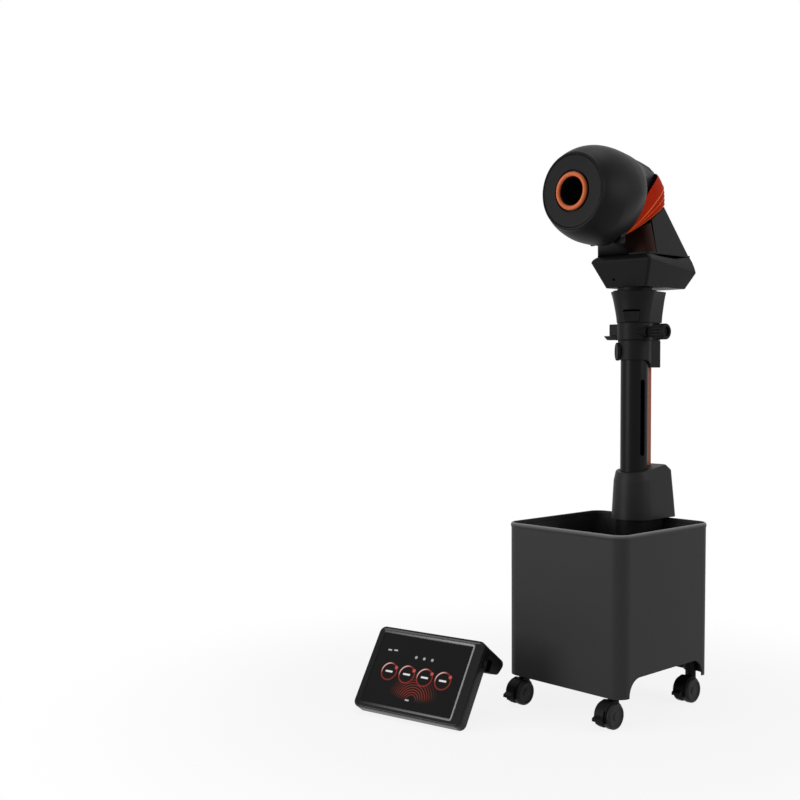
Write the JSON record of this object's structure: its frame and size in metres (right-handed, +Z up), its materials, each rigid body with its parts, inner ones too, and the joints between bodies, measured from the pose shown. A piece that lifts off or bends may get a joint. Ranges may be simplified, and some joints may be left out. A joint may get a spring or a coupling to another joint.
{
  "type": "table_tennis_robot",
  "caption": "Table tennis ball throwing robot: open ball bin on braked casters, lift tube with clamped carriage, yawing turret, tilting orange-ribbed head, and a touch console standing beside it",
  "frame": {"origin": "bottom centre of the bounding box of everything, console included", "axes": "+Z up, the nozzle throws along -Y, +X to the robot's left seen from behind the nozzle looking along the throw"},
  "size_m": [0.4356, 0.5748, 1.0313],
  "materials": {
    "moulded_black": "fine matte moulded texture",
    "inner_black": "smooth matte moulding",
    "grip_rubber": "soft touch, ribbed",
    "wheel_rubber": "dull foam rubber",
    "caster_rubber": "smooth tread",
    "motor_steel": "brushed can",
    "frame_aluminium": "milled",
    "nozzle_orange": "satin moulding",
    "rib_orange": "satin moulding, light worn edges",
    "gloss_black": "polished",
    "screen_glass": "dark display under clear glass, lit ring dials"
  },
  "bodies": {
    "base": {"bin_shell": "moulded_black", "ball_floor": "inner_black", "base_plate": "inner_black", "lift_housing": "moulded_black", "lift_tower": "inner_black", "lift_motor": "motor_steel", "ball_tube": "inner_black", "guide_rail": "rib_orange"},
    "pickup": {"pickup_wheel": "wheel_rubber"},
    "carriage": {"lower_collar": "moulded_black", "upper_collar": "moulded_black", "head_socket": "moulded_black", "swivel_ring": "inner_black"},
    "collar_knob_body": {"collar_knob": "grip_rubber"},
    "clamp_grip_body": {"clamp_grip": "grip_rubber"},
    "clamp_lever_body": {"clamp_lever": "inner_black"},
    "latch_body": {"latch_button": "moulded_black"},
    "turret": {"turret_tray": "moulded_black", "tray_base": "inner_black", "ball_duct": "inner_black", "yaw_motor": "motor_steel", "neck": "moulded_black", "pitch_pin": "motor_steel", "fan_rib_1": "rib_orange"},
    "rib_two": {"fan_rib_2": "rib_orange"},
    "rib_three": {"fan_rib_3": "rib_orange"},
    "rib_four": {"fan_rib_4": "rib_orange"},
    "head": {"pod_shell": "moulded_black", "front_plate": "moulded_black", "nozzle_ring": "nozzle_orange", "barrel": "inner_black", "wheel_frame": "frame_aluminium", "upper_motor": "motor_steel", "lower_motor": "motor_steel", "top_hatch": "moulded_black", "fan_rib_5": "rib_orange"},
    "throw_wheel_upper": {"upper_wheel": "wheel_rubber"},
    "throw_wheel_lower": {"lower_wheel": "wheel_rubber"},
    "console": {"console_case": "gloss_black", "console_bezel": "gloss_black", "console_screen": "screen_glass", "console_hook": "moulded_black"},
    "console_button_body": {"console_button": "grip_rubber"},
    "console_prop_body": {"console_prop": "moulded_black"},
    "caster_front_left": {"caster_fork_front_left": "inner_black"},
    "wheels_front_left": {"caster_wheels_front_left": "caster_rubber"},
    "brake_front_left": {"caster_brake_front_left": "inner_black"},
    "caster_front_right": {"caster_fork_front_right": "inner_black"},
    "wheels_front_right": {"caster_wheels_front_right": "caster_rubber"},
    "brake_front_right": {"caster_brake_front_right": "inner_black"},
    "caster_rear_left": {"caster_fork_rear_left": "inner_black"},
    "wheels_rear_left": {"caster_wheels_rear_left": "caster_rubber"},
    "brake_rear_left": {"caster_brake_rear_left": "inner_black"},
    "caster_rear_right": {"caster_fork_rear_right": "inner_black"},
    "wheels_rear_right": {"caster_wheels_rear_right": "caster_rubber"},
    "brake_rear_right": {"caster_brake_rear_right": "inner_black"}
  },
  "joints": [
    {"name": "swivel_front_left", "type": "hinge", "parent": "base", "child": "caster_front_left", "pos_m": [-0.01769, -0.01461, 0.06], "axis": [0, 0, 1], "continuous": true},
    {"name": "roll_front_left", "type": "hinge", "parent": "caster_front_left", "child": "wheels_front_left", "pos_m": [-0.01769, -0.02762, 0.023], "axis": [1, 0, 0], "continuous": true},
    {"name": "brake_press_front_left", "type": "hinge", "parent": "caster_front_left", "child": "brake_front_left", "pos_m": [-0.01769, -0.02762, 0.023], "axis": [1, 0, 0], "range_deg": [0, 16]},
    {"name": "swivel_front_right", "type": "hinge", "parent": "base", "child": "caster_front_right", "pos_m": [0.18631, -0.01461, 0.06], "axis": [0, 0, 1], "continuous": true},
    {"name": "roll_front_right", "type": "hinge", "parent": "caster_front_right", "child": "wheels_front_right", "pos_m": [0.18631, -0.02762, 0.023], "axis": [1, 0, 0], "continuous": true},
    {"name": "brake_press_front_right", "type": "hinge", "parent": "caster_front_right", "child": "brake_front_right", "pos_m": [0.18631, -0.02762, 0.023], "axis": [1, 0, 0], "range_deg": [0, 16]},
    {"name": "swivel_rear_left", "type": "hinge", "parent": "base", "child": "caster_rear_left", "pos_m": [-0.01769, 0.22539, 0.06], "axis": [0, 0, 1], "continuous": true},
    {"name": "roll_rear_left", "type": "hinge", "parent": "caster_rear_left", "child": "wheels_rear_left", "pos_m": [-0.01769, 0.21238, 0.023], "axis": [1, 0, 0], "continuous": true},
    {"name": "brake_press_rear_left", "type": "hinge", "parent": "caster_rear_left", "child": "brake_rear_left", "pos_m": [-0.01769, 0.21238, 0.023], "axis": [1, 0, 0], "range_deg": [0, 16]},
    {"name": "swivel_rear_right", "type": "hinge", "parent": "base", "child": "caster_rear_right", "pos_m": [0.18631, 0.22539, 0.06], "axis": [0, 0, 1], "continuous": true},
    {"name": "roll_rear_right", "type": "hinge", "parent": "caster_rear_right", "child": "wheels_rear_right", "pos_m": [0.18631, 0.21238, 0.023], "axis": [1, 0, 0], "continuous": true},
    {"name": "brake_press_rear_right", "type": "hinge", "parent": "caster_rear_right", "child": "brake_rear_right", "pos_m": [0.18631, 0.21238, 0.023], "axis": [1, 0, 0], "range_deg": [0, 16]},
    {"name": "pickup_spin", "type": "hinge", "parent": "base", "child": "pickup", "pos_m": [0.08431, 0.18438, 0.15], "axis": [1, 0, 0], "continuous": true},
    {"name": "mast_slide", "type": "slide", "parent": "base", "child": "carriage", "axis": [0, 0, 1], "range_m": [-0.07, 0.05]},
    {"name": "collar_knob_turn", "type": "hinge", "parent": "carriage", "child": "collar_knob_body", "pos_m": [0.06385, 0.16244, 0.657], "axis": [-0.682, -0.7314, 0], "range_deg": [-180, 180]},
    {"name": "clamp_grip_turn", "type": "hinge", "parent": "carriage", "child": "clamp_grip_body", "pos_m": [0.12931, 0.18438, 0.694], "axis": [1, 0, 0], "range_deg": [-180, 180]},
    {"name": "clamp_lever_swing", "type": "hinge", "parent": "carriage", "child": "clamp_lever_body", "pos_m": [0.04543, 0.18438, 0.684], "axis": [0, 0, 1], "range_deg": [-30, 45]},
    {"name": "latch_press", "type": "slide", "parent": "carriage", "child": "latch_body", "axis": [-0.4226, 0.9063, 0], "range_m": [0, 0.002], "stiffness_N_per_m": 500, "springref_m": -0.001},
    {"name": "turret_yaw", "type": "hinge", "parent": "carriage", "child": "turret", "pos_m": [0.08431, 0.18438, 0.778], "axis": [0, 0, 1], "range_deg": [-45, 45]},
    {"name": "head_pitch", "type": "hinge", "parent": "turret", "child": "head", "pos_m": [0.08431, 0.09738, 0.86], "axis": [1, 0, 0], "range_deg": [-8, 13]},
    {"name": "fan_follow_2", "type": "hinge", "parent": "turret", "child": "rib_two", "pos_m": [0.08431, 0.09738, 0.86], "axis": [1, 0, 0], "range_deg": [-2, 3.25]},
    {"name": "fan_follow_3", "type": "hinge", "parent": "turret", "child": "rib_three", "pos_m": [0.08431, 0.09738, 0.86], "axis": [1, 0, 0], "range_deg": [-4, 6.5]},
    {"name": "fan_follow_4", "type": "hinge", "parent": "turret", "child": "rib_four", "pos_m": [0.08431, 0.09738, 0.86], "axis": [1, 0, 0], "range_deg": [-6, 9.75]},
    {"name": "throw_spin_upper", "type": "hinge", "parent": "head", "child": "throw_wheel_upper", "pos_m": [0.08431, 0.07538, 0.993], "axis": [1, 0, 0], "continuous": true},
    {"name": "throw_spin_lower", "type": "hinge", "parent": "head", "child": "throw_wheel_lower", "pos_m": [0.08431, 0.07538, 0.893], "axis": [1, 0, 0], "continuous": true},
    {"name": "console_lift", "type": "slide", "parent": "base", "child": "console", "axis": [0, 0, 1], "range_m": [0, 0.25]},
    {"name": "console_button_press", "type": "slide", "parent": "console", "child": "console_button_body", "axis": [-0.9806, -0.1959, 0], "range_m": [0, 0.0015], "stiffness_N_per_m": 300, "springref_m": -0.0008},
    {"name": "prop_fold", "type": "hinge", "parent": "console", "child": "console_prop_body", "pos_m": [-0.09613, -0.18036, 0.08698], "axis": [-0.9806, -0.1959, 0], "range_deg": [0, 50]}
  ],
  "couplings": [
    {"joint": "fan_follow_2", "follows": "head_pitch", "ratio": 0.25},
    {"joint": "fan_follow_3", "follows": "head_pitch", "ratio": 0.5},
    {"joint": "fan_follow_4", "follows": "head_pitch", "ratio": 0.75}
  ]
}
